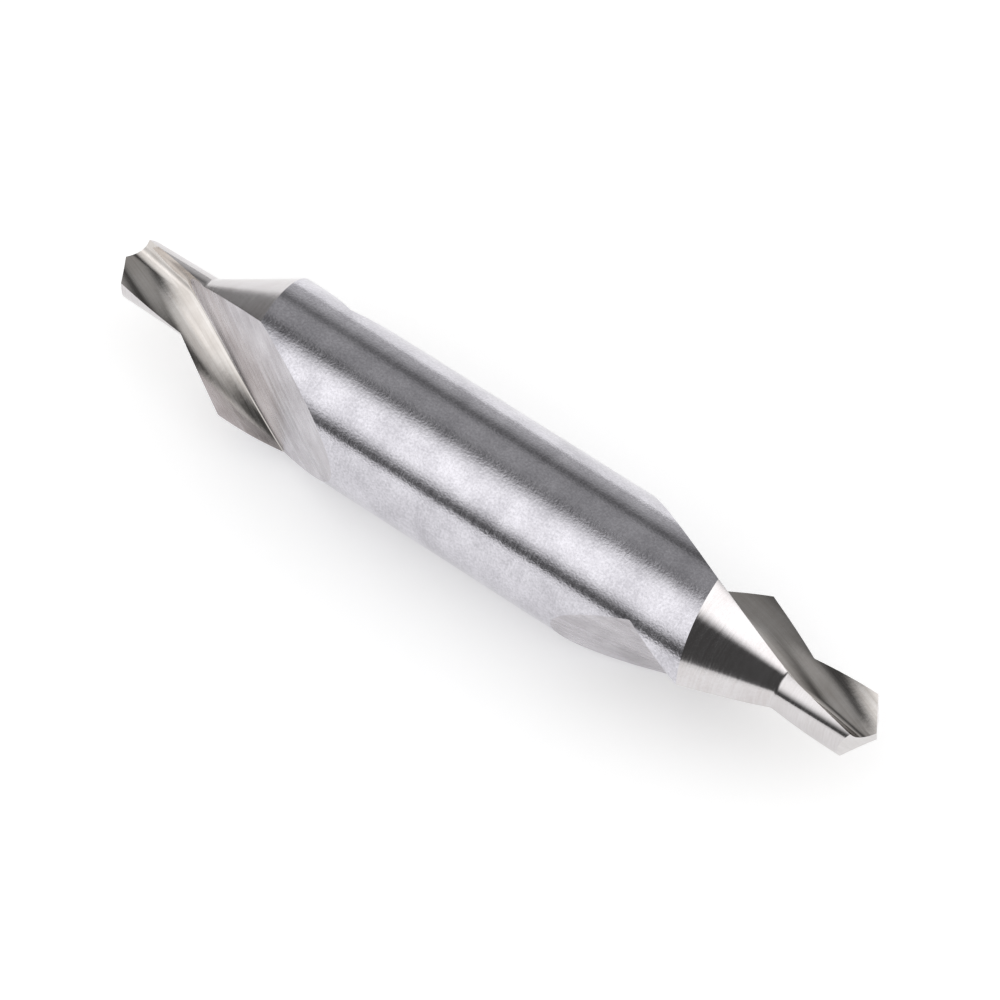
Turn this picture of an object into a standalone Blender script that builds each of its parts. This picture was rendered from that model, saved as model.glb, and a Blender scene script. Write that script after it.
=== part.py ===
"""Centre drill, also called a combined drill and countersink, ground from one round bar.

Lengths are in metres. The drill lies along world X with its middle at the origin. Each end is described
in its own frame: x runs from the point into the body, p points at the outer corner of one cutting edge and
q points from that corner over the land behind it. Angles round the axis are measured from p towards q.
"""
import math

import bmesh
import bpy
from mathutils import Matrix, Vector

MM = 0.001

# Standard size: 3/16 in pilot, 7/16 in body, 2 1/2 in overall.
BODY_DIAMETER = 11.11 * MM
PILOT_DIAMETER = 4.76 * MM
OVERALL_LENGTH = 63.5 * MM

# The turned form of each end, before the flutes.
PILOT_LENGTH = 6.75 * MM
COUNTERSINK_ANGLE = math.radians(60.0)
ROOT_RADIUS = 0.5 * MM
POINT_ANGLE = math.radians(118.0)
POINT_CLEARANCE = math.radians(15.0)

# Relief: the share of its radius that a land loses for each radian behind its cutting edge. The relief runs
# over this angle and comes back inside the flute.
LAND_RELIEF = 0.074
LAND_ANGLE = math.radians(112.0)

# The flute winds round the axis with this lead, so its section stays the same from the point to its end.
FLUTE_LEAD = 66.0 * MM

# Section of the flute square to the axis, turned back to the point. The rake face is a hollow that cuts the
# pilot at the cutting edge and the body at this bearing. A tighter arc follows it past the web, and the
# heel side leaves that arc as a flat.
RIM_BEARING = math.radians(-23.6)
HOLLOW_RADIUS = 4.4 * MM
HOLLOW_END = math.radians(109.5)
HEEL_RADIUS = 1.25 * MM
HEEL_BEARING = math.radians(-96.0)
HEEL_REACH = 1.06
OPENING_ANGLE = math.radians(135.0)

# The side of the wheel leaves a wall across the end of the flute. It leans by this angle to the axis, which
# it crosses at this depth. It is a little crowned, and it turns a little from its first bearing while the
# wheel draws back.
WALL_LEAN = math.radians(18.9)
WALL_DEPTH = 6.3 * MM
WALL_CROWN_RADIUS = 41.0 * MM
WALL_BEARING = math.radians(186.9)
WALL_TURN = math.radians(0.515) / MM

# How the two ends are set: where the first cutting edge stands, measured from up, towards -Y.
LEFT_EDGE_BEARING = math.radians(69.5)
RIGHT_EDGE_BEARING = math.radians(121.1)

# Facets.
COLUMNS = 108
PILOT_ROWS = 4
ROOT_STEPS = 3
CONE_ROWS = 5
HOLLOW_STEPS = 12
HEEL_STEPS = 5
FLUTE_SLICES = 24
WALL_SLICES = 30
WALL_STRIPS = 8
RING_ROUNDS = 12

BODY_RADIUS = BODY_DIAMETER / 2
PILOT_RADIUS = PILOT_DIAMETER / 2
HALF_LENGTH = OVERALL_LENGTH / 2
CONE_SLOPE = math.tan(COUNTERSINK_ANGLE / 2)
TWIST = 2 * math.pi / FLUTE_LEAD
CORNER_DEPTH = PILOT_RADIUS / math.tan(POINT_ANGLE / 2)
CORNER_BEARING = -TWIST * CORNER_DEPTH


def clear_file():
    """Empties the file of everything that it opens with."""
    for obj in list(bpy.data.objects):
        bpy.data.objects.remove(obj)
    for collection in list(bpy.data.collections):
        bpy.data.collections.remove(collection)


def add_collection(name):
    """Adds a collection under the scene."""
    collection = bpy.data.collections.new(name)
    bpy.context.scene.collection.children.link(collection)
    return collection


def add_mesh(name, verts, faces, collection):
    """Adds a closed mesh whose normals point outwards."""
    mesh = bpy.data.meshes.new(name)
    bm = bmesh.new()
    corners = [bm.verts.new(v) for v in verts]
    for face in faces:
        bm.faces.new([corners[i] for i in face])
    bmesh.ops.recalc_face_normals(bm, faces=bm.faces)
    bm.to_mesh(mesh)
    bm.free()
    obj = bpy.data.objects.new(name, mesh)
    collection.objects.link(obj)
    return obj


def end_frame(side):
    """Gives the matrix from an end's own frame (x, p, q) to the world, for side -1 (left) or 1 (right)."""
    bearing = LEFT_EDGE_BEARING if side < 0 else RIGHT_EDGE_BEARING
    inward = Vector((-side, 0, 0))
    outer_corner = Vector((0, -math.sin(bearing), math.cos(bearing)))
    over_land = inward.cross(outer_corner)
    rotation = Matrix((inward, outer_corner, over_land)).transposed().to_4x4()
    return Matrix.Translation((side * HALF_LENGTH, 0, 0)) @ rotation


def polar(radius, angle):
    """Gives a point of the section from its radius and its angle."""
    return radius * Vector((math.cos(angle), math.sin(angle)))


def edge_angle(x):
    """Gives the angle of the cutting edge at a depth: with the flute on the pilot, slower on the cone."""
    cone_length = (BODY_RADIUS - PILOT_RADIUS) / CONE_SLOPE
    cone_turn = TWIST + (RIM_BEARING - CORNER_BEARING) / cone_length
    return TWIST * (min(x, PILOT_LENGTH) - CORNER_DEPTH) + cone_turn * max(x - PILOT_LENGTH, 0.0)


def relief(x, angle):
    """Gives the share of its radius that a land has lost; the two lands are half a turn apart."""
    behind = (angle - edge_angle(x)) % math.pi
    coming_back = (math.pi - behind) * LAND_ANGLE / (math.pi - LAND_ANGLE)
    return LAND_RELIEF * min(behind, coming_back)


def ring_depth(angle):
    """Gives the depth at which the relieved cone meets the body."""
    x = PILOT_LENGTH
    for _ in range(RING_ROUNDS):
        x = PILOT_LENGTH + (BODY_RADIUS / (1 - relief(x, angle)) - PILOT_RADIUS) / CONE_SLOPE
    return x


def turned_radius(x):
    """Gives the radius that was turned at a depth, before the relief: pilot, root and cone."""
    start = PILOT_LENGTH - ROOT_RADIUS * math.tan(COUNTERSINK_ANGLE / 4)
    root_length = ROOT_RADIUS * math.sin(COUNTERSINK_ANGLE / 2)
    in_root = min(max(x - start, 0.0), root_length)
    root_rise = ROOT_RADIUS - math.sqrt(ROOT_RADIUS ** 2 - in_root ** 2)
    return PILOT_RADIUS + root_rise + max(x - start - root_length, 0.0) * CONE_SLOPE


def end_profile(angle):
    """Gives the turned form of one end as (x, radius) pairs, from ahead of the point to the body."""
    start = PILOT_LENGTH - ROOT_RADIUS * math.tan(COUNTERSINK_ANGLE / 4)
    root_end = start + ROOT_RADIUS * math.sin(COUNTERSINK_ANGLE / 2)
    ring = ring_depth(angle)
    depths = [-PILOT_RADIUS / 2]
    depths += [CORNER_DEPTH + (start - CORNER_DEPTH) * i / PILOT_ROWS for i in range(PILOT_ROWS)]
    depths += [start + (root_end - start) * i / ROOT_STEPS for i in range(ROOT_STEPS)]
    depths += [root_end + (ring - root_end) * i / CONE_ROWS for i in range(CONE_ROWS)]
    pairs = [(x, turned_radius(x) * (1 - relief(x, angle))) for x in depths]
    pairs.append((ring, BODY_RADIUS))
    return pairs


def make_blank(collection):
    """Makes the bar with both ends turned and their lands relieved."""
    frames = {side: end_frame(side) for side in (-1, 1)}
    verts = []
    for column in range(COLUMNS):
        spin = 2 * math.pi * column / COLUMNS
        outward = Vector((0, -math.sin(spin), math.cos(spin)))
        strip = []
        for side in (-1, 1):
            local = frames[side].to_3x3().inverted() @ outward
            profile = end_profile(math.atan2(local.z, local.y))
            points = [Vector((side * (HALF_LENGTH - x), 0, 0)) + outward * r for x, r in profile]
            strip += points if side < 0 else points[::-1]
        verts += strip
    rows = len(verts) // COLUMNS
    faces = []
    for column in range(COLUMNS):
        here = column * rows
        there = (column + 1) % COLUMNS * rows
        for row in range(rows - 1):
            faces.append((here + row, here + row + 1, there + row + 1, there + row))
    faces.append([column * rows for column in range(COLUMNS)])
    faces.append([column * rows + rows - 1 for column in range(COLUMNS)])
    return add_mesh("centre_drill", verts, faces, collection)


def arc(centre, radius, start, end, steps):
    """Gives points on an arc, its two ends included."""
    return [centre + polar(radius, start + (end - start) * i / steps) for i in range(steps + 1)]


def flute_section():
    """Gives the outline of the flute, turned back to the point and carried on outside the bar."""
    inner = polar(PILOT_RADIUS, CORNER_BEARING)
    outer = polar(BODY_RADIUS, RIM_BEARING)
    chord = outer - inner
    square = Vector((chord.y, -chord.x)).normalized()
    centre = (inner + outer) / 2 + square * math.sqrt(HOLLOW_RADIUS ** 2 - (chord.length / 2) ** 2)
    start = math.atan2(outer.y - centre.y, outer.x - centre.x)
    hollow = arc(centre, HOLLOW_RADIUS, start, HOLLOW_END, HOLLOW_STEPS)
    heel_centre = centre + polar(HOLLOW_RADIUS - HEEL_RADIUS, HOLLOW_END)
    heel = arc(heel_centre, HEEL_RADIUS, HOLLOW_END, HEEL_BEARING + 1.5 * math.pi, HEEL_STEPS)
    outline = [outer + polar(BODY_RADIUS, start - math.pi / 2)]
    outline += hollow
    outline += heel[1:]
    # The flat ends just outside the pilot, and from there on the wall bounds the flute.
    flat = polar(1.0, HEEL_BEARING)
    along = heel[-1].dot(flat)
    reach = math.sqrt(along ** 2 + (HEEL_REACH * PILOT_RADIUS) ** 2 - heel[-1].length_squared) - along
    outline.append(heel[-1] + reach * flat)
    outline.append(polar(2.2 * BODY_RADIUS, RIM_BEARING - OPENING_ANGLE))
    outline.append(polar(1.8 * BODY_RADIUS, RIM_BEARING - OPENING_ANGLE / 2))
    return outline


def loft(name, slices, placed, collection):
    """Makes a closed solid through slices of the same number of points, its sides split into triangles."""
    count = len(slices[0])
    verts = [placed @ point for outline in slices for point in outline]
    faces = [list(range(count)), list(range(len(verts) - count, len(verts)))]
    for first in range(0, len(verts) - count, count):
        for i in range(count):
            j = (i + 1) % count
            faces.append((first + i, first + j, first + count + j))
            faces.append((first + i, first + count + j, first + count + i))
    return add_mesh(name, verts, faces, collection)


def wall_exit():
    """Gives a depth by which the wall has left the bar on every side."""
    return WALL_DEPTH + BODY_RADIUS / math.tan(WALL_LEAN)


def make_flute_tool(name, side, half_turn, collection):
    """Makes the solid that the wheel removes: the winding groove, less what the wall leaves standing."""
    placed = end_frame(side) @ Matrix.Rotation(math.pi if half_turn else 0.0, 4, "X")
    outline = flute_section()
    before = -PILOT_DIAMETER
    after = wall_exit() + BODY_RADIUS
    slices = []
    for i in range(FLUTE_SLICES + 1):
        x = before + (after - before) * i / FLUTE_SLICES
        turned = Matrix.Rotation(TWIST * x, 2)
        slices.append([Vector((x, *(turned @ point))) for point in outline])
    groove = loft(name, slices, placed, collection)
    slices = []
    reach = 1.3 * BODY_RADIUS
    for i in range(WALL_SLICES + 1):
        x = 2 * before + (after + BODY_RADIUS - 2 * before) * i / WALL_SLICES
        bearing = WALL_BEARING + WALL_TURN * x
        near = (WALL_DEPTH - x) * math.tan(WALL_LEAN)
        corners = []
        for j in range(WALL_STRIPS + 1):
            across = reach * (2 * j / WALL_STRIPS - 1)
            crowned = near + across ** 2 / (2 * WALL_CROWN_RADIUS)
            corners.append(polar(crowned, bearing) + polar(across, bearing + math.pi / 2))
        for across in (reach, -reach):
            corners.append(polar(near + 3 * BODY_DIAMETER, bearing) + polar(across, bearing + math.pi / 2))
        slices.append([Vector((x, *point)) for point in corners])
    wall = loft(name + "_wall", slices, placed, collection)
    cut(groove, wall)
    return groove


def make_point_tool(name, side, collection):
    """Makes the block with a V underneath that leaves the two flanks of the point, and the chisel edge."""
    lip_slope = 1 / math.tan(POINT_ANGLE / 2)
    fall_slope = math.tan(POINT_CLEARANCE)
    steepest = Vector((0, lip_slope, fall_slope))
    slope = steepest.length
    down = steepest.normalized()
    ridge = Vector((1, 0, 0)).cross(down)
    reach = PILOT_DIAMETER
    front = -PILOT_DIAMETER
    outline = [(-reach, front), (reach, front), (reach, slope * reach), (0, 0), (-reach, slope * reach)]
    frame = end_frame(side)
    verts = []
    for along in (-reach, reach):
        for sideways, x in outline:
            verts.append(frame @ (Vector((x, 0, 0)) + sideways * down + along * ridge))
    count = len(outline)
    faces = [list(range(count)), list(range(count, 2 * count))]
    for i in range(count):
        j = (i + 1) % count
        faces.append((i, j, count + j, count + i))
    return add_mesh(name, verts, faces, collection)


def cut(obj, tool):
    """Takes a tool away from an object with a Boolean modifier."""
    tool.hide_render = True
    tool.display_type = "WIRE"
    boolean = obj.modifiers.new("cut_" + tool.name, "BOOLEAN")
    boolean.operation = "DIFFERENCE"
    boolean.solver = "EXACT"
    boolean.object = tool


def steel():
    """Makes the bright ground high-speed steel."""
    material = bpy.data.materials.new("ground_steel")
    material.use_nodes = True
    shader = material.node_tree.nodes["Principled BSDF"]
    shader.inputs["Base Color"].default_value = (0.62, 0.61, 0.6, 1)
    shader.inputs["Metallic"].default_value = 1.0
    shader.inputs["Roughness"].default_value = 0.25
    return material


def main():
    """Builds the drill."""
    clear_file()
    parts = add_collection("parts")
    tools = add_collection("tools")
    drill = make_blank(parts)
    for side, word in ((-1, "left"), (1, "right")):
        cut(drill, make_point_tool(word + "_point_tool", side, tools))
        for half_turn, order in ((False, "first"), (True, "second")):
            cut(drill, make_flute_tool(word + "_" + order + "_flute_tool", side, half_turn, tools))
    drill.data.materials.append(steel())
    drill.data.set_sharp_from_angle(angle=math.radians(18))


main()
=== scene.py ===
"""Dresses the centre drill: satin ground shank, bright ground ends and flutes, in a soft white studio."""
import logging
import math
from dataclasses import dataclass, field
from enum import Enum
from typing import Any

import bmesh
import bpy
from mathutils import Matrix, Vector


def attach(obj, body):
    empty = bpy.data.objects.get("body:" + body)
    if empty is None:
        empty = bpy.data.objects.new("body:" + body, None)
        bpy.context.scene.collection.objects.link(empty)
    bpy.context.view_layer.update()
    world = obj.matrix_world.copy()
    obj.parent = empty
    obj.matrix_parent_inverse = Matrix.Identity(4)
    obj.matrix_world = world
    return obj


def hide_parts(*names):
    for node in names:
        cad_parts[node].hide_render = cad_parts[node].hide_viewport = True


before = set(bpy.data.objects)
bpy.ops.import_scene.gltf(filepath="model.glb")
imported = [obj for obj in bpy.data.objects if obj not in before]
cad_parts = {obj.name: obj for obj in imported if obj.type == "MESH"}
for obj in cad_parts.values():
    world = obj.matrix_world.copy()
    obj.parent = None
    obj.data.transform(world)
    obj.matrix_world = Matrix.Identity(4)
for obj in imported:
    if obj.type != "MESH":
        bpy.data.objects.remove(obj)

MM = 0.001
STEP = 0.01 * MM
LOG = logging.getLogger("centre_drill")


class Surface(Enum):
    """The ground surfaces of the drill, each of which has a finish of its own."""

    SHANK = "shank"
    COUNTERSINK = "countersink"
    PILOT = "pilot"
    FLANK = "flank"
    WALL = "wall"
    RAKE = "rake"


def sRGB(code: str) -> tuple[float, float, float, float]:
    """Turns a hex colour into the linear colour that a shader takes.

    Args:
        code: An sRGB colour such as "#C8C6C3".

    Returns:
        Linear red, green and blue, and an alpha of 1.
    """
    channels = [int(code.lstrip("#")[i:i + 2], 16) / 255 for i in (0, 2, 4)]
    linear = [c / 12.92 if c <= 0.04045 else ((c + 0.055) / 1.055) ** 2.4 for c in channels]
    return (linear[0], linear[1], linear[2], 1.0)


def add_node(tree: bpy.types.NodeTree, kind: str, settings: dict[str, Any] | None = None,
             inputs: dict[str | int, Any] | None = None) -> bpy.types.Node:
    """Adds a node to a tree.

    Args:
        tree: The node tree.
        kind: The node's type, such as "ShaderNodeBump".
        settings: Values of the node's own properties.
        inputs: For each input socket, a value or the output socket that is linked to it.

    Returns:
        The new node.
    """
    node = tree.nodes.new(kind)
    for name, value in (settings or {}).items():
        setattr(node, name, value)
    for name, value in (inputs or {}).items():
        if isinstance(value, bpy.types.NodeSocket):
            tree.links.new(value, node.inputs[name])
        else:
            node.inputs[name].default_value = value
    return node


@dataclass(frozen=True)
class Bar:
    """The round bar that the drill is ground from."""

    diameter: float = 11.11 * MM
    length: float = 63.5 * MM

    @property
    def radius(self) -> float:
        """Half the diameter."""
        return self.diameter / 2


def polar(radius: float, angle: float) -> Vector:
    """Gives a point of a section from its radius and its angle."""
    return radius * Vector((math.cos(angle), math.sin(angle)))


@dataclass(frozen=True)
class Pilot:
    """The small drill at the tip of an end, and the cone that it grows into."""

    diameter: float = 4.76 * MM
    length: float = 6.75 * MM
    root_radius: float = 0.5 * MM
    half_angle: float = math.radians(30.0)
    point_angle: float = math.radians(118.0)
    clearance: float = math.radians(15.0)

    @property
    def radius(self) -> float:
        """Half the diameter."""
        return self.diameter / 2

    @property
    def corner_depth(self) -> float:
        """How far behind the point the outer corners of its cutting edges are."""
        return self.radius / math.tan(self.point_angle / 2)

    @property
    def root_start(self) -> float:
        """The depth at which the root begins."""
        return self.length - self.root_radius * math.tan(self.half_angle / 2)

    @property
    def root_end(self) -> float:
        """The depth at which the root meets the cone."""
        return self.root_start + self.root_radius * math.sin(self.half_angle)

    def turned(self, depth: float) -> tuple[float, float]:
        """Gives the turned form at a depth, before its lands are relieved.

        Args:
            depth: The distance behind the point.

        Returns:
            The radius, and how fast it grows with depth.
        """
        in_root = min(max(depth - self.root_start, 0.0), self.root_end - self.root_start)
        left = math.sqrt(self.root_radius ** 2 - in_root ** 2)
        cone = max(depth - self.root_end, 0.0) * math.tan(self.half_angle)
        return self.radius + self.root_radius - left + cone, in_root / left


@dataclass(frozen=True)
class Flute:
    """A flute: a hollow that winds round the axis, and the wall that the side of the wheel leaves at its end.

    The section lies square to the axis, turned back to the point. Its first axis points at the outer corner
    of the cutting edge and its second over the land behind that edge. past_start is how far round before the
    hollow a point of the wall still counts as beside it. far_out, side_out and wall_reach carry the outlines
    on outside the bar, in radii of the bar, and wall_back does so in diameters.
    """

    bar: Bar = Bar()
    pilot: Pilot = Pilot()
    lead: float = 66.0 * MM
    rim_bearing: float = math.radians(-23.6)
    hollow_radius: float = 4.4 * MM
    hollow_end: float = math.radians(109.5)
    heel_radius: float = 1.25 * MM
    heel_bearing: float = math.radians(-96.0)
    heel_reach: float = 1.06
    opening: float = math.radians(135.0)
    wall_lean: float = math.radians(18.9)
    wall_depth: float = 6.3 * MM
    wall_crown: float = 41.0 * MM
    wall_bearing: float = math.radians(186.9)
    wall_turn: float = math.radians(0.515) / MM
    past_start: float = math.radians(15.0)
    far_out: float = 2.2
    side_out: float = 1.8
    wall_reach: float = 1.3
    wall_back: float = 3.0
    hollow_steps: int = 40
    heel_steps: int = 12
    slices: int = 76
    wall_strips: int = 12
    wall_slices: int = 48

    @property
    def twist(self) -> float:
        """How far the flute turns in each metre."""
        return 2 * math.pi / self.lead

    @property
    def corner_bearing(self) -> float:
        """The bearing of the cutting edge on the pilot, in the section."""
        return -self.twist * self.pilot.corner_depth

    @property
    def hollow_centre(self) -> Vector:
        """The middle of the rake face's hollow, in the section."""
        inner = polar(self.pilot.radius, self.corner_bearing)
        outer = polar(self.bar.radius, self.rim_bearing)
        chord = outer - inner
        square = Vector((chord.y, -chord.x)).normalized()
        return (inner + outer) / 2 + square * math.sqrt(self.hollow_radius ** 2 - (chord.length / 2) ** 2)

    @property
    def hollow_start(self) -> float:
        """The angle, round its middle, at which the hollow leaves the bar at the cutting edge."""
        start = polar(self.bar.radius, self.rim_bearing) - self.hollow_centre
        return math.atan2(start.y, start.x)

    @property
    def heel_limit(self) -> float:
        """How far from the axis the heel's flat ends."""
        return self.heel_reach * self.pilot.radius

    @property
    def heel_centre(self) -> Vector:
        """The middle of the tighter arc past the web, in the section."""
        return self.hollow_centre + polar(self.hollow_radius - self.heel_radius, self.hollow_end)

    @property
    def heel_end(self) -> float:
        """The angle, round its middle, at which the tighter arc leaves into the heel's flat."""
        return self.heel_bearing + 1.5 * math.pi

    def edge_angle(self, depth: float) -> float:
        """Gives the angle of the cutting edge at a depth.

        Args:
            depth: The distance behind the point.

        Returns:
            The angle round the axis: it turns with the flute on the pilot, and slower on the cone.
        """
        cone_length = (self.bar.radius - self.pilot.radius) / math.tan(self.pilot.half_angle)
        cone_turn = self.twist + (self.rim_bearing - self.corner_bearing) / cone_length
        on_pilot = self.twist * (min(depth, self.pilot.length) - self.pilot.corner_depth)
        return on_pilot + cone_turn * max(depth - self.pilot.length, 0.0)

    def edge_turn(self, depth: float) -> float:
        """Tells how fast the cutting edge turns round the axis with depth."""
        return (self.edge_angle(depth + STEP) - self.edge_angle(depth - STEP)) / (2 * STEP)

    def section(self) -> list[Vector]:
        """Gives the outline of the hollow, carried on outside the bar."""
        centre = self.hollow_centre
        rim = polar(self.bar.radius, self.rim_bearing)
        start = self.hollow_start
        outline = [rim + polar(self.bar.radius, start - math.pi / 2)]
        for i in range(self.hollow_steps + 1):
            outline.append(centre + polar(self.hollow_radius,
                                          start + (self.hollow_end - start) * i / self.hollow_steps))
        for i in range(1, self.heel_steps + 1):
            turn = self.hollow_end + (self.heel_end - self.hollow_end) * i / self.heel_steps
            outline.append(self.heel_centre + polar(self.heel_radius, turn))
        flat = polar(1.0, self.heel_bearing)
        last = outline[-1]
        along = last.dot(flat)
        ends = math.sqrt(along ** 2 + self.heel_limit ** 2 - last.length_squared) - along
        outline.append(last + flat * ends)
        outline.append(polar(self.far_out * self.bar.radius, self.rim_bearing - self.opening))
        outline.append(polar(self.side_out * self.bar.radius, self.rim_bearing - self.opening / 2))
        return outline

    @property
    def run(self) -> tuple[float, float]:
        """The depths between which the flute is cut, both clear of the bar."""
        leaves = self.wall_depth + self.bar.radius / math.tan(self.wall_lean)
        return -self.pilot.diameter, leaves + self.bar.radius

    def groove_slices(self) -> list[list[Vector]]:
        """Gives the winding hollow as outlines along the axis."""
        before, after = self.run
        outline = self.section()
        slices = []
        for i in range(self.slices + 1):
            depth = before + (after - before) * i / self.slices
            turned = Matrix.Rotation(self.twist * depth, 2)
            slices.append([Vector((depth, *(turned @ point))) for point in outline])
        return slices

    def wall_slices_along(self) -> list[list[Vector]]:
        """Gives the steel that the wall leaves standing as outlines along the axis."""
        before, after = self.run
        reach = self.wall_reach * self.bar.radius
        slices = []
        for i in range(self.wall_slices + 1):
            depth = 2 * before + (after + self.bar.radius - 2 * before) * i / self.wall_slices
            bearing = self.wall_bearing + self.wall_turn * depth
            near = (self.wall_depth - depth) * math.tan(self.wall_lean)
            corners = []
            for j in range(self.wall_strips + 1):
                across = reach * (2 * j / self.wall_strips - 1)
                crowned = near + across ** 2 / (2 * self.wall_crown)
                corners.append(polar(crowned, bearing) + polar(across, bearing + math.pi / 2))
            for across in (reach, -reach):
                far = polar(near + self.wall_back * self.bar.diameter, bearing)
                corners.append(far + polar(across, bearing + math.pi / 2))
            slices.append([Vector((depth, *point)) for point in corners])
        return slices

    def in_section(self, point: Vector) -> Vector:
        """Turns a point of the end's frame back into the section."""
        return Matrix.Rotation(-self.twist * point.x, 2) @ Vector((point.y, point.z))

    def groove_distance(self, point: Vector) -> float:
        """Tells how far inside the hollow a point of the wall is.

        Args:
            point: The point, in the end's own frame.

        Returns:
            The distance in metres, or the bar's diameter where no part of the hollow is beside the point.
        """
        flat = self.in_section(point)
        away = flat - self.hollow_centre
        turn = math.atan2(away.y, away.x)
        if turn < self.hollow_start - self.past_start:
            return self.bar.diameter
        if turn <= self.hollow_end:
            return self.hollow_radius - away.length
        if flat.length > self.heel_limit:
            return self.bar.diameter
        away = flat - self.heel_centre
        if math.atan2(away.y, away.x) % (2 * math.pi) > self.heel_end:
            return self.heel_radius - away.dot(polar(1.0, self.heel_end))
        return self.heel_radius - away.length

    def wall_distance(self, point: Vector) -> float:
        """Tells how far a point is out from the wall, in metres."""
        bearing = self.wall_bearing + self.wall_turn * point.x
        flat = Vector((point.y, point.z))
        across = flat.dot(polar(1.0, bearing + math.pi / 2))
        near = (self.wall_depth - point.x) * math.tan(self.wall_lean) + across ** 2 / (2 * self.wall_crown)
        return (near - flat.dot(polar(1.0, bearing))) * math.cos(self.wall_lean)

    def groove_normal(self, point: Vector) -> Vector:
        """Gives the true normal of the winding hollow, so that its facets never show.

        Args:
            point: A point on it, in the end's own frame.

        Returns:
            The normal, which points away from the steel.
        """
        flat = self.in_section(point)
        inward = self.hollow_centre - flat
        turn = math.atan2(-inward.y, -inward.x)
        if turn > self.hollow_end:
            inward = self.heel_centre - flat
            turn = math.atan2(-inward.y, -inward.x) % (2 * math.pi)
            if turn > self.heel_end:
                inward = -polar(1.0, self.heel_end)
        facing = Matrix.Rotation(self.twist * point.x, 2) @ inward.normalized()
        along = self.twist * (facing.x * point.z - facing.y * point.y)
        return Vector((along, facing.x, facing.y)).normalized()

    def wall_normal(self, point: Vector) -> Vector:
        """Gives the true normal of the wall at a point of the end's frame, away from the steel."""
        slope = [self.wall_distance(point + shift) - self.wall_distance(point - shift)
                 for shift in (Vector((STEP, 0, 0)), Vector((0, STEP, 0)), Vector((0, 0, STEP)))]
        return Vector(slope).normalized()


@dataclass(frozen=True)
class GroundEnd:
    """The turned form of one end with its relieved lands.

    An end has its own frame: x runs from the point into the body, p points at the outer corner of one
    cutting edge and q points from that corner over the land behind it.
    """

    side: int
    edge_bearing: float
    bar: Bar = Bar()
    pilot: Pilot = Pilot()
    flute: Flute = Flute()
    land_relief: float = 0.074
    land_angle: float = math.radians(112.0)
    wrap_angle: float = math.radians(170.0)
    pilot_rows: int = 8
    root_rows: int = 6
    cone_rows: int = 12
    ring_rounds: int = 12

    @property
    def placement(self) -> Matrix:
        """The matrix from the end's own frame to the world."""
        inward = Vector((-self.side, 0, 0))
        corner = Vector((0, -math.sin(self.edge_bearing), math.cos(self.edge_bearing)))
        rotation = Matrix((inward, corner, inward.cross(corner))).transposed().to_4x4()
        return Matrix.Translation((self.side * self.bar.length / 2, 0, 0)) @ rotation

    def relief(self, depth: float, angle: float) -> float:
        """Tells what share of its radius a land has lost.

        Args:
            depth: The distance behind the point.
            angle: The angle round the axis, from p towards q.

        Returns:
            The share; it grows behind the cutting edge and comes back inside the flute.
        """
        behind = (angle - self.flute.edge_angle(depth)) % math.pi
        coming_back = (math.pi - behind) * self.land_angle / (math.pi - self.land_angle)
        return self.land_relief * min(behind, coming_back)

    def ring(self, angle: float) -> float:
        """Gives the depth at which the relieved cone meets the body."""
        slope = math.tan(self.pilot.half_angle)
        depth = self.pilot.length
        for _ in range(self.ring_rounds):
            rise = self.bar.radius / (1 - self.relief(depth, angle)) - self.pilot.radius
            depth = self.pilot.length + rise / slope
        return depth

    def profile(self, angle: float) -> list[tuple[float, float]]:
        """Gives the ground form along one side of the end.

        Args:
            angle: The angle round the axis, from p towards q.

        Returns:
            Pairs of depth and radius, from ahead of the point to the body.
        """
        pilot = self.pilot
        ring = self.ring(angle)
        stretches = [(pilot.corner_depth, pilot.root_start, self.pilot_rows),
                     (pilot.root_start, pilot.root_end, self.root_rows),
                     (pilot.root_end, ring, self.cone_rows)]
        depths = [-pilot.radius / 2]
        for start, end, rows in stretches:
            depths += [start + (end - start) * i / rows for i in range(rows)]
        pairs = [(depth, pilot.turned(depth)[0] * (1 - self.relief(depth, angle))) for depth in depths]
        return pairs + [(ring, self.bar.radius)]

    def normal(self, point: Vector) -> Vector:
        """Gives the true normal of the ground form, so that its facets never show.

        Args:
            point: A point on the pilot, its root or the cone, in the end's own frame.

        Returns:
            The normal, in the end's own frame.
        """
        angle = math.atan2(point.z, point.y)
        radius, slope = self.pilot.turned(point.x)
        behind = (angle - self.flute.edge_angle(point.x)) % math.pi
        if behind > self.wrap_angle:
            behind -= math.pi
        left = 1 - self.land_relief * behind
        grows = slope * left + radius * self.land_relief * self.flute.edge_turn(point.x)
        round_way = Vector((0, -math.sin(angle), math.cos(angle)))
        radial = Vector((0, math.cos(angle), math.sin(angle)))
        return (radial + round_way * (self.land_relief / left) - Vector((grows, 0, 0))).normalized()


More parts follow.
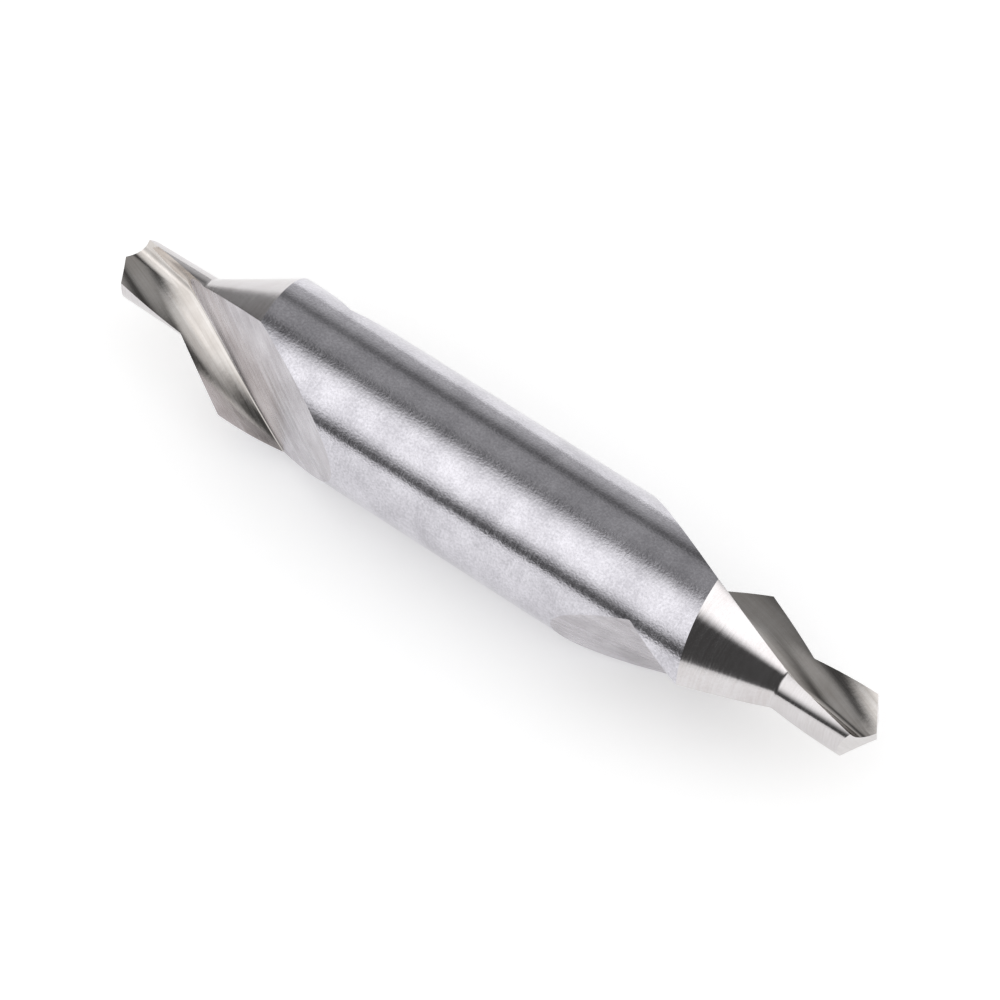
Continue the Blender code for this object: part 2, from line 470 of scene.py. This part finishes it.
@dataclass
class CentreDrill:
    """The whole drill: a bar with two turned ends, and two flutes and a point on each.

    The last four values place the grinding marks: millimetres for what is away from a corner and for how far
    apart the flutes' marks lie, and the ways of the marks and of the wall in a flute's own frame.
    """

    bar: Bar = field(default_factory=Bar)
    left: GroundEnd = field(default_factory=lambda: GroundEnd(-1, math.radians(69.5)))
    right: GroundEnd = field(default_factory=lambda: GroundEnd(1, math.radians(121.1)))
    columns: int = 240
    node: str = "centre_drill"
    far_from_corner: float = 9.0
    flute_apart: float = 30.0
    marks_way: Vector = field(default_factory=lambda: Vector((0.823, 0.132, 0.551)).normalized())
    wall_way: Vector = field(default_factory=lambda: Vector((0.32, -0.93, -0.19)).normalized())

    def ends(self) -> list[tuple[GroundEnd, str]]:
        """Gives each end with the word for it."""
        return [(self.left, "left"), (self.right, "right")]

    def closed_mesh(self, name: str, verts: list[Vector], faces: list[tuple[list[int], Surface]],
                    materials: dict[Surface, bpy.types.Material]) -> bpy.types.Object:
        """Makes a closed mesh whose normals point outwards.

        Args:
            name: The object's name.
            verts: Its points.
            faces: Its faces, each with the surface that it belongs to.
            materials: The material of each surface.

        Returns:
            The new object.
        """
        mesh = bpy.data.meshes.new(name)
        order = list(Surface)
        for surface in order:
            mesh.materials.append(materials[surface])
        work = bmesh.new()
        corners = [work.verts.new(v) for v in verts]
        for indices, surface in faces:
            face = work.faces.new([corners[i] for i in indices])
            face.material_index = order.index(surface)
        bmesh.ops.recalc_face_normals(work, faces=work.faces)
        work.to_mesh(mesh)
        work.free()
        obj = bpy.data.objects.new(name, mesh)
        bpy.context.scene.collection.objects.link(obj)
        return obj

    def blank(self, materials: dict[Surface, bpy.types.Material]) -> bpy.types.Object:
        """Makes the bar with both ends turned and relieved.

        Args:
            materials: The material of each surface.

        Returns:
            The blank.
        """
        verts: list[Vector] = []
        for column in range(self.columns):
            spin = 2 * math.pi * column / self.columns
            outward = Vector((0, -math.sin(spin), math.cos(spin)))
            strip: list[Vector] = []
            for end, _ in self.ends():
                local = end.placement.to_3x3().inverted() @ outward
                profile = end.profile(math.atan2(local.z, local.y))
                points = [Vector((end.side * (self.bar.length / 2 - x), 0, 0)) + outward * r
                          for x, r in profile]
                strip += points if end.side < 0 else points[::-1]
            verts += strip
        rows = len(verts) // self.columns
        one_end = [Surface.PILOT] * (1 + self.left.pilot_rows + self.left.root_rows)
        one_end += [Surface.COUNTERSINK] * self.left.cone_rows
        bands = one_end + [Surface.SHANK] + one_end[::-1]
        faces: list[tuple[list[int], Surface]] = []
        for column in range(self.columns):
            here = column * rows
            there = (column + 1) % self.columns * rows
            for row in range(rows - 1):
                faces.append(([here + row, here + row + 1, there + row + 1, there + row], bands[row]))
        faces.append(([column * rows for column in range(self.columns)], Surface.FLANK))
        faces.append(([column * rows + rows - 1 for column in range(self.columns)], Surface.FLANK))
        return self.closed_mesh("centre_drill_ground", verts, faces, materials)

    def loft(self, name: str, slices: list[list[Vector]], placed: Matrix, surface: Surface,
             materials: dict[Surface, bpy.types.Material]) -> bpy.types.Object:
        """Makes a closed solid through slices of the same number of points.

        Args:
            name: The object's name.
            slices: The outlines, in the end's own frame.
            placed: The matrix from that frame to the world.
            surface: The surface that the solid grinds.
            materials: The material of each surface.

        Returns:
            The solid.
        """
        count = len(slices[0])
        verts = [placed @ point for outline in slices for point in outline]
        faces = [(list(range(count)), surface), (list(range(len(verts) - count, len(verts))), surface)]
        for first in range(0, len(verts) - count, count):
            for i in range(count):
                j = (i + 1) % count
                faces.append(([first + i, first + j, first + count + j], surface))
                faces.append(([first + i, first + count + j, first + count + i], surface))
        return self.closed_mesh(name, verts, faces, materials)

    def flute_tool(self, end: GroundEnd, half_turn: float, name: str,
                   materials: dict[Surface, bpy.types.Material]) -> list[bpy.types.Object]:
        """Makes the solid that the wheel removes: the winding hollow, less what the wall leaves standing.

        Args:
            end: The end that is fluted.
            half_turn: Zero for the first flute and half a turn for the second.
            name: The tool's name.
            materials: The material of each surface.

        Returns:
            The hollow, which is cut by the wall's solid, and the wall's solid.
        """
        placed = end.placement @ Matrix.Rotation(half_turn, 4, "X")
        groove = self.loft(name, end.flute.groove_slices(), placed, Surface.RAKE, materials)
        wall = self.loft(name + "_wall", end.flute.wall_slices_along(), placed, Surface.WALL, materials)
        self.cut(groove, wall)
        return [groove, wall]

    def point_tool(self, end: GroundEnd, name: str,
                   materials: dict[Surface, bpy.types.Material]) -> bpy.types.Object:
        """Makes the block with a V underneath that leaves the two flanks and the chisel edge.

        Args:
            end: The end that is pointed.
            name: The tool's name.
            materials: The material of each surface.

        Returns:
            The tool.
        """
        pilot = end.pilot
        steepest = Vector((0, 1 / math.tan(pilot.point_angle / 2), math.tan(pilot.clearance)))
        slope = steepest.length
        down = steepest.normalized()
        ridge = Vector((1, 0, 0)).cross(down)
        reach = pilot.diameter
        outline = [(-reach, -reach), (reach, -reach), (reach, slope * reach), (0, 0), (-reach, slope * reach)]
        slices = []
        for along in (-reach, reach):
            slices.append([Vector((x, 0, 0)) + sideways * down + along * ridge for sideways, x in outline])
        return self.loft(name, slices, end.placement, Surface.FLANK, materials)

    def cut(self, obj: bpy.types.Object, tool: bpy.types.Object) -> None:
        """Takes a tool away from an object, which keeps the tool's material on the cut.

        Args:
            obj: The object that is cut.
            tool: The tool.
        """
        boolean = obj.modifiers.new("cut", "BOOLEAN")
        boolean.operation = "DIFFERENCE"
        boolean.solver = "EXACT"
        boolean.material_mode = "TRANSFER"
        boolean.object = tool

    def grind(self, materials: dict[Surface, bpy.types.Material]) -> bpy.types.Object:
        """Cuts the points and the flutes out of the blank.

        Args:
            materials: The material of each surface.

        Returns:
            The ground drill, as one mesh.
        """
        blank = self.blank(materials)
        spare = [blank]
        for end, word in self.ends():
            point = self.point_tool(end, word + "_point_tool", materials)
            self.cut(blank, point)
            spare.append(point)
            for half_turn in (0.0, math.pi):
                tools = self.flute_tool(end, half_turn, word + "_flute_tool", materials)
                self.cut(blank, tools[0])
                spare += tools
        depsgraph = bpy.context.evaluated_depsgraph_get()
        mesh = bpy.data.meshes.new_from_object(blank.evaluated_get(depsgraph))
        mesh.name = "centre_drill_ground"
        obj = bpy.data.objects.new("ground_drill", mesh)
        bpy.context.scene.collection.objects.link(obj)
        for old in spare:
            old_mesh = old.data
            bpy.data.objects.remove(old)
            bpy.data.meshes.remove(old_mesh)
        return obj

    def flute_frames(self) -> list[tuple[GroundEnd, Matrix]]:
        """Gives each flute's end and the matrix from the flute's own frame to the world."""
        frames = []
        for end, _ in self.ends():
            for half_turn in (0.0, math.pi):
                frames.append((end, end.placement @ Matrix.Rotation(half_turn, 4, "X")))
        return frames

    def nearest_flute(self, middle: Vector, normal: Vector, surface: Surface) -> tuple[Flute, Matrix, int]:
        """Finds the flute that a face belongs to.

        Args:
            middle: The face's middle.
            normal: The face's own normal.
            surface: The wall or the rake face.

        Returns:
            The flute, its matrix and its number.
        """
        best = None
        least = math.inf
        for number, (end, matrix) in enumerate(self.flute_frames()):
            if end.side * middle.x < 0:
                continue
            local = matrix.inverted() @ middle
            true = end.flute.wall_normal(local) if surface is Surface.WALL else end.flute.groove_normal(local)
            error = (matrix.to_3x3() @ true - normal).length
            if error < least:
                least = error
                best = (end.flute, matrix, number)
        return best

    def finish_surface(self, obj: bpy.types.Object, materials: dict[Surface, bpy.types.Material]) -> None:
        """Gives the mesh its true normals, coordinates along the grinding marks, and distances from corners.

        Args:
            obj: The ground drill.
            materials: The material of each surface.
        """
        mesh = obj.data
        kinds = {materials[surface].name: surface for surface in Surface}
        slots = [kinds[m.name] for m in mesh.materials]
        mesh.uv_layers.new(name="lay")
        mesh.attributes.new("corner", "FLOAT", "CORNER")
        lay = mesh.uv_layers["lay"]
        corner = mesh.attributes["corner"]
        normals: list[Vector] = [Vector((0, 0, 1))] * len(mesh.loops)
        for face in mesh.polygons:
            surface = slots[face.material_index]
            face.use_smooth = True
            middle = face.center
            end = self.left if middle.x < 0 else self.right
            fluted = surface in (Surface.WALL, Surface.RAKE)
            if fluted:
                flute, matrix, number = self.nearest_flute(middle, face.normal, surface)
            for index in face.loop_indices:
                place = mesh.vertices[mesh.loops[index].vertex_index].co
                distance = self.far_from_corner
                if fluted:
                    local = matrix.inverted() @ place
                    across, along = self.flute_lay(flute, local, surface)
                    if surface is Surface.WALL:
                        true = flute.wall_normal(local)
                        distance = flute.groove_distance(local) / MM
                    else:
                        true = flute.groove_normal(local)
                        distance = flute.wall_distance(local) / MM
                    normal = matrix.to_3x3() @ true
                    marks = (along, across + self.flute_apart * number)
                elif surface is Surface.SHANK:
                    normal = Vector((0, place.y, place.z))
                    marks = self.ring_lay(place, middle)
                elif surface in (Surface.PILOT, Surface.COUNTERSINK):
                    normal = end.placement.to_3x3() @ end.normal(end.placement.inverted() @ place)
                    marks = self.ring_lay(place, middle)
                else:
                    normal = face.normal.copy()
                    local = end.placement.inverted() @ place
                    marks = (local.z / MM, local.y / MM)
                lay.data[index].uv = marks
                corner.data[index].value = distance
                normals[index] = normal.normalized()
        mesh.normals_split_custom_set(normals)

    def flute_lay(self, flute: Flute, local: Vector, surface: Surface) -> tuple[float, float]:
        """Gives a point's place across and along the grinding marks of a flute.

        Args:
            flute: The flute.
            local: The point, in the flute's own frame.
            surface: The wall or the rake face.

        Returns:
            The distances across and along the marks, in millimetres.
        """
        along = local.dot(self.marks_way) / MM
        if surface is Surface.WALL:
            return local.dot(self.wall_way.cross(self.marks_way)) / MM, along
        return flute.wall_distance(local) / MM, along

    def ring_lay(self, place: Vector, middle: Vector) -> tuple[float, float]:
        """Gives a point's place round and along the drill, in millimetres."""
        return self.spin(place, middle) * self.bar.radius / MM, place.x / MM

    def spin(self, place: Vector, middle: Vector) -> float:
        """Gives a corner's angle round the drill, which closes underneath.

        Args:
            place: The corner.
            middle: The middle of its face.

        Returns:
            The angle from the top, within half a turn of the face's.
        """
        spin = math.atan2(-place.y, place.z)
        own = math.atan2(-middle.y, middle.z)
        return spin + 2 * math.pi * round((own - spin) / (2 * math.pi))

    def build(self, materials: dict[Surface, bpy.types.Material]) -> bpy.types.Object:
        """Makes the dressed drill and lets it stand for its CAD node.

        Args:
            materials: The material of each surface.

        Returns:
            The drill.
        """
        obj = self.grind(materials)
        self.finish_surface(obj, materials)
        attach(obj, "root")
        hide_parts(self.node)
        LOG.info("%s: %d faces, %d materials", obj.name, len(obj.data.polygons), len(obj.data.materials))
        return obj


@dataclass(frozen=True)
class GroundSteel:
    """Hardened high-speed steel, ground and left bare: a metal that mirrors the room along its marks.

    The sizes of the marks, the grain and the corner are in millimetres. The colour and the shade are the two
    ends of its slight change of tone, and wear is how far the roughness changes with the marks, between the
    heights marks_low and marks_high. lobe_turn, in turns, lays the stretched reflection across the marks.
    """

    name: str
    colour: str
    shade: str
    roughness: float
    anisotropy: float
    mark_spacing: float
    mark_length: float
    mark_depth: float
    grain: float
    grain_depth: float
    corner_width: float = 0.0
    corner_slope: float = 0.0
    wear: float = 0.03
    streaks: float = 1.0
    speckle: float = 0.3
    patch: float = 2.5
    tone_spread: float = 0.3
    marks_low: float = 0.3
    marks_high: float = 0.7
    lobe_turn: float = 0.25

    def build(self) -> bpy.types.Material:
        """Makes the material.

        Returns:
            The material, with its marks and its grain as relief.
        """
        material = bpy.data.materials.new(self.name)
        material.use_nodes = True
        tree = material.node_tree
        shader = tree.nodes["Principled BSDF"]
        shader.inputs["Metallic"].default_value = 1.0
        shader.inputs["Anisotropic"].default_value = self.anisotropy
        shader.inputs["Anisotropic Rotation"].default_value = self.lobe_turn
        lay = add_node(tree, "ShaderNodeUVMap", {"uv_map": "lay"})
        tangent = add_node(tree, "ShaderNodeTangent", {"direction_type": "UV_MAP", "uv_map": "lay"})
        tree.links.new(tangent.outputs["Tangent"], shader.inputs["Tangent"])
        marks = self.marks(tree, lay.outputs["UV"])
        place = add_node(tree, "ShaderNodeTexCoord")
        grain = add_node(tree, "ShaderNodeTexNoise", {"noise_dimensions": "3D"},
                         {"Vector": place.outputs["Object"], "Scale": 1 / (self.grain * MM), "Detail": 2.0,
                          "Roughness": 0.6})
        relief = add_node(tree, "ShaderNodeBump", None,
                          {"Height": marks, "Distance": self.mark_depth * MM, "Strength": 1.0})
        relief = add_node(tree, "ShaderNodeBump", None,
                          {"Height": grain.outputs["Fac"], "Distance": self.grain_depth * MM, "Strength": 1.0,
                           "Normal": relief.outputs["Normal"]})
        if self.corner_width:
            relief = self.corner(tree, relief.outputs["Normal"])
        tree.links.new(relief.outputs["Normal"], shader.inputs["Normal"])
        worn = add_node(tree, "ShaderNodeMapRange", None,
                        {"Value": marks, "From Min": self.marks_low, "From Max": self.marks_high,
                         "To Min": self.roughness - self.wear, "To Max": self.roughness + self.wear})
        tree.links.new(worn.outputs["Result"], shader.inputs["Roughness"])
        colour = self.tone(tree, place.outputs["Object"], marks, grain.outputs["Fac"])
        tree.links.new(colour, shader.inputs["Base Color"])
        return material

    def marks(self, tree: bpy.types.NodeTree, lay: bpy.types.NodeSocket) -> bpy.types.NodeSocket:
        """Adds the grinding marks, long one way and fine the other.

        Args:
            tree: The material's nodes.
            lay: The place along and across the marks, in millimetres.

        Returns:
            The height of the marks, from 0 to 1.
        """
        stretched = add_node(tree, "ShaderNodeVectorMath", {"operation": "MULTIPLY"},
                             {0: lay, 1: (1 / self.mark_length, 1 / self.mark_spacing, 1.0)})
        noise = add_node(tree, "ShaderNodeTexNoise", {"noise_dimensions": "2D"},
                         {"Vector": stretched.outputs["Vector"], "Scale": 1.0, "Detail": 3.0,
                          "Roughness": 0.6})
        return noise.outputs["Fac"]

    def tone(self, tree: bpy.types.NodeTree, place: bpy.types.NodeSocket, marks: bpy.types.NodeSocket,
             grain: bpy.types.NodeSocket) -> bpy.types.NodeSocket:
        """Adds the slight change of tone over the steel.

        Args:
            tree: The material's nodes.
            place: The place on the drill, in metres.
            marks: The height of the grinding marks.
            grain: The height of the grain.

        Returns:
            The colour.
        """
        broad = add_node(tree, "ShaderNodeTexNoise", {"noise_dimensions": "3D"},
                         {"Vector": place, "Scale": 1 / (self.patch * MM), "Detail": 2.0, "Roughness": 0.5})
        streaked = add_node(tree, "ShaderNodeMath", {"operation": "MULTIPLY_ADD"},
                            {0: marks, 1: self.streaks, 2: broad.outputs["Fac"]})
        speckled = add_node(tree, "ShaderNodeMath", {"operation": "MULTIPLY_ADD"},
                            {0: grain, 1: self.speckle, 2: streaked.outputs["Value"]})
        middle = (1 + self.streaks + self.speckle) / 2
        share = add_node(tree, "ShaderNodeMapRange", None,
                         {"Value": speckled.outputs["Value"], "From Min": middle - self.tone_spread,
                          "From Max": middle + self.tone_spread})
        mix = add_node(tree, "ShaderNodeMix", {"data_type": "RGBA"},
                       {0: share.outputs["Result"], 6: sRGB(self.shade), 7: sRGB(self.colour)})
        return mix.outputs[2]

    def corner(self, tree: bpy.types.NodeTree, normal: bpy.types.NodeSocket) -> bpy.types.Node:
        """Rounds the inside corner between the wall and the rake face, which shows as a thin line.

        Args:
            tree: The material's nodes.
            normal: The normal with the marks and the grain.

        Returns:
            The node that rounds the corner.
        """
        distance = add_node(tree, "ShaderNodeAttribute", {"attribute_name": "corner"})
        share = add_node(tree, "ShaderNodeMapRange", None,
                         {"Value": distance.outputs["Fac"], "From Min": 0.0, "From Max": self.corner_width,
                          "To Min": 1.0, "To Max": 0.0})
        curve = add_node(tree, "ShaderNodeMath", {"operation": "POWER"}, {0: share.outputs["Result"], 1: 2.0})
        height = add_node(tree, "ShaderNodeMath", {"operation": "MULTIPLY"},
                          {0: curve.outputs["Value"], 1: self.corner_slope * self.corner_width / 2})
        return add_node(tree, "ShaderNodeBump", None,
                        {"Height": height.outputs["Value"], "Distance": MM, "Strength": 1.0,
                         "Normal": normal})


@dataclass(frozen=True)
class SatinShank(GroundSteel):
    """The body, ground between centres and left satin.

    The wheel leaves rings round it and hardening leaves a fine grain, so reflections spread along the drill
    and sparkle softly. The real rings are about 0.02 mm apart and are drawn coarser, so that they show.
    """

    name: str = "high_speed_steel_satin_ground"
    colour: str = "#DCDAE0"
    shade: str = "#B9B7BD"
    roughness: float = 0.16
    anisotropy: float = 0.3
    mark_spacing: float = 0.14
    mark_length: float = 3.0
    mark_depth: float = 0.0003
    grain: float = 0.17
    grain_depth: float = 0.009
    streaks: float = 0.3
    speckle: float = 1.15


@dataclass(frozen=True)
class GroundCone(GroundSteel):
    """The countersink, ground bright: crisp reflections broken by fine rings."""

    name: str = "high_speed_steel_cone_ground"
    colour: str = "#D6D3D4"
    shade: str = "#CAC5C5"
    roughness: float = 0.15
    anisotropy: float = 0.7
    mark_spacing: float = 0.16
    mark_length: float = 5.0
    mark_depth: float = 0.005
    grain: float = 0.2
    grain_depth: float = 0.0008
    speckle: float = 0.7


@dataclass(frozen=True)
class GroundPilot(GroundSteel):
    """The pilot, ground bright like the cone, with finer rings."""

    name: str = "high_speed_steel_pilot_ground"
    colour: str = "#D5D2D3"
    shade: str = "#CAC6C6"
    roughness: float = 0.14
    anisotropy: float = 0.6
    mark_spacing: float = 0.14
    mark_length: float = 4.0
    mark_depth: float = 0.0014
    grain: float = 0.2
    grain_depth: float = 0.001


@dataclass(frozen=True)
class GroundFlank(GroundSteel):
    """The flanks of the point, ground flat with a fine cup wheel: pale, with faint straight marks."""

    name: str = "high_speed_steel_point_ground"
    colour: str = "#DBD8D8"
    shade: str = "#CFCCCB"
    roughness: float = 0.2
    anisotropy: float = 0.4
    mark_spacing: float = 0.12
    mark_length: float = 2.0
    mark_depth: float = 0.002
    grain: float = 0.15
    grain_depth: float = 0.002


@dataclass(frozen=True)
class GroundWall(GroundSteel):
    """The wall at the flute's end, left by the side of the wheel.

    It is grey, with marks drawn out along the corner. The real marks are finer and are drawn coarser, so that
    they show.
    """

    name: str = "high_speed_steel_wall_ground"
    colour: str = "#D9D6DA"
    shade: str = "#B4B0B4"
    roughness: float = 0.26
    anisotropy: float = 0.75
    mark_spacing: float = 0.42
    mark_length: float = 9.0
    mark_depth: float = 0.0025
    grain: float = 0.16
    grain_depth: float = 0.0015
    corner_width: float = 0.13
    corner_slope: float = 0.9
    wear: float = 0.06


@dataclass(frozen=True)
class GroundRake(GroundSteel):
    """The hollow of the flute, ground by the rim of the wheel: bright and slightly warm."""

    name: str = "high_speed_steel_flute_ground"
    colour: str = "#DAD6D3"
    shade: str = "#C5BFBA"
    roughness: float = 0.11
    anisotropy: float = 0.4
    mark_spacing: float = 0.22
    mark_length: float = 9.0
    mark_depth: float = 0.0006
    grain: float = 0.35
    grain_depth: float = 0.003
    corner_width: float = 0.1
    corner_slope: float = 0.7
    wear: float = 0.04


@dataclass(frozen=True)
class SoftLight:
    """A soft light of the studio, as the room shows it round one direction."""

    towards: tuple[float, float, float]
    core: float
    edge: float
    strength: float

    def add(self, tree: bpy.types.NodeTree, direction: bpy.types.NodeSocket,
            total: bpy.types.NodeSocket | float) -> bpy.types.NodeSocket:
        """Adds the light to the room.

        Args:
            tree: The world's nodes.
            direction: The direction in which the room is seen.
            total: The brightness so far.

        Returns:
            The brightness with this light.
        """
        length = math.sqrt(sum(part * part for part in self.towards))
        towards = tuple(part / length for part in self.towards)
        facing = add_node(tree, "ShaderNodeVectorMath", {"operation": "DOT_PRODUCT"},
                          {0: direction, 1: towards})
        share = add_node(tree, "ShaderNodeMapRange", {"interpolation_type": "SMOOTHSTEP"},
                         {"Value": facing.outputs["Value"], "From Min": math.cos(math.radians(self.edge)),
                          "From Max": math.cos(math.radians(self.core)), "To Min": 0.0,
                          "To Max": self.strength})
        both = add_node(tree, "ShaderNodeMath", {"operation": "ADD"}, {0: total, 1: share.outputs["Result"]})
        return both.outputs["Value"]


@dataclass(frozen=True)
class Studio:
    """A white sheet under the drill, a dim room with soft lights round it, and the camera.

    The sheet itself is flat; low down in front the room shows white in reflections, as a turned-up sheet
    would, up to sheet_lip as a share of the way from level to straight up.
    """

    floor_height: float = -5.555 * MM
    floor_size: float = 4.0
    sheet_glow: float = 0.28
    room_level: float = 0.07
    plain_level: float = 0.85
    sheet_lip: float = 0.10
    lip_blur: float = 0.01
    lip_side: float = 0.1
    camera_place: tuple[float, float, float] = (0.14071, -0.17944, 0.31870)
    camera_target: tuple[float, float, float] = (0.00077, 0.00001, -0.00033)
    lens: float = 211.33
    sensor: float = 36.0

    def lights(self) -> list[SoftLight]:
        """Gives the soft lights of the room."""
        window = SoftLight((0.62, 0.33, 0.70), 14, 32, 1.6)
        softbox = SoftLight((-0.25, -0.55, 0.79), 6, 39, 1.28)
        card = SoftLight((-0.75, -0.60, 0.28), 12, 27, 0.8)
        ceiling = SoftLight((-0.06, 0.02, 0.99), 4, 21, 0.7)
        far_wall = SoftLight((-0.38, 0.48, 0.80), 7, 24, 0.3)
        side_wall = SoftLight((-0.82, 0.50, 0.26), 10, 38, 0.2)
        back_sweep = SoftLight((-0.32, 0.94, -0.12), 5, 43, 0.48)
        return [window, softbox, card, ceiling, far_wall, side_wall, back_sweep]

    def camera(self) -> None:
        """Adds the camera at the photograph's angle."""
        data = bpy.data.cameras.new("camera")
        data.lens = self.lens
        data.sensor_width = self.sensor
        data.sensor_fit = "HORIZONTAL"
        data.clip_start = 0.01
        obj = bpy.data.objects.new("camera", data)
        obj.location = self.camera_place
        look = Vector(self.camera_target) - Vector(self.camera_place)
        obj.rotation_euler = look.to_track_quat("-Z", "Y").to_euler()
        bpy.context.scene.collection.objects.link(obj)
        bpy.context.scene.camera = obj

    def world(self) -> None:
        """Makes the room: dim with soft lights in reflections, and plain where it lights pale things."""
        world = bpy.data.worlds.new("studio")
        bpy.context.scene.world = world
        world.use_nodes = True
        tree = world.node_tree
        direction = add_node(tree, "ShaderNodeTexCoord").outputs["Generated"]
        total: bpy.types.NodeSocket | float = self.room_level
        for light in self.lights():
            total = light.add(tree, direction, total)
        parts = add_node(tree, "ShaderNodeSeparateXYZ", None, {"Vector": direction})
        low = add_node(tree, "ShaderNodeMapRange", None,
                       {"Value": parts.outputs["Z"], "From Min": self.sheet_lip + self.lip_blur,
                        "From Max": self.sheet_lip - self.lip_blur})
        near = add_node(tree, "ShaderNodeMapRange", None,
                        {"Value": parts.outputs["Y"], "From Min": self.lip_side,
                         "From Max": -self.lip_side})
        lip = add_node(tree, "ShaderNodeMath", {"operation": "MULTIPLY"},
                       {0: low.outputs["Result"], 1: near.outputs["Result"]})
        lipped = add_node(tree, "ShaderNodeMix", {"data_type": "FLOAT"},
                          {0: lip.outputs["Value"], 2: total, 3: 1.0})
        path = add_node(tree, "ShaderNodeLightPath")
        plain = add_node(tree, "ShaderNodeMix", {"data_type": "FLOAT"},
                         {0: path.outputs["Is Diffuse Ray"], 2: lipped.outputs[0], 3: self.plain_level})
        tree.nodes["Background"].inputs["Color"].default_value = (1, 1, 1, 1)
        tree.links.new(plain.outputs[0], tree.nodes["Background"].inputs["Strength"])

    def sheet(self) -> bpy.types.Material:
        """Makes the white sheet's material, which is white to the eye and in reflections and keeps a shadow.

        Returns:
            The material.
        """
        material = bpy.data.materials.new("matt_white_card")
        material.use_nodes = True
        tree = material.node_tree
        shader = tree.nodes["Principled BSDF"]
        shader.inputs["Base Color"].default_value = sRGB("#F4F4F4")
        shader.inputs["Roughness"].default_value = 0.9
        shader.inputs["Specular IOR Level"].default_value = 0.0
        shader.inputs["Emission Color"].default_value = (1, 1, 1, 1)
        path = add_node(tree, "ShaderNodeLightPath")
        seen = add_node(tree, "ShaderNodeMath", {"operation": "MAXIMUM"},
                        {0: path.outputs["Is Camera Ray"], 1: path.outputs["Is Glossy Ray"]})
        seen = add_node(tree, "ShaderNodeMath", {"operation": "MAXIMUM"},
                        {0: seen.outputs["Value"], 1: path.outputs["Is Transmission Ray"]})
        glow = add_node(tree, "ShaderNodeMath", {"operation": "MULTIPLY"},
                        {0: seen.outputs["Value"], 1: self.sheet_glow})
        tree.links.new(glow.outputs["Value"], shader.inputs["Emission Strength"])
        return material

    def floor(self) -> None:
        """Adds the white sheet."""
        half = self.floor_size / 2
        height = self.floor_height
        mesh = bpy.data.meshes.new("floor")
        corners = [(-half, -half, height), (half, -half, height), (half, half, height), (-half, half, height)]
        mesh.from_pydata(corners, [], [(0, 1, 2, 3)])
        mesh.materials.append(self.sheet())
        obj = bpy.data.objects.new("floor", mesh)
        bpy.context.scene.collection.objects.link(obj)

    def build(self) -> None:
        """Builds the studio."""
        self.camera()
        self.world()
        self.floor()
        bpy.context.scene.view_settings.view_transform = "Standard"
        LOG.info("studio: camera, %d soft lights and floor", len(self.lights()))


def main() -> None:
    """Builds the drill and the studio."""
    logging.basicConfig(level=logging.INFO, format="%(name)s: %(message)s")
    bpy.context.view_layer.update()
    finishes = {Surface.SHANK: SatinShank(), Surface.COUNTERSINK: GroundCone(), Surface.PILOT: GroundPilot(),
                Surface.FLANK: GroundFlank(), Surface.WALL: GroundWall(), Surface.RAKE: GroundRake()}
    materials = {surface: finish.build() for surface, finish in finishes.items()}
    CentreDrill().build(materials)
    Studio().build()


if __name__ == "__main__":
    main()
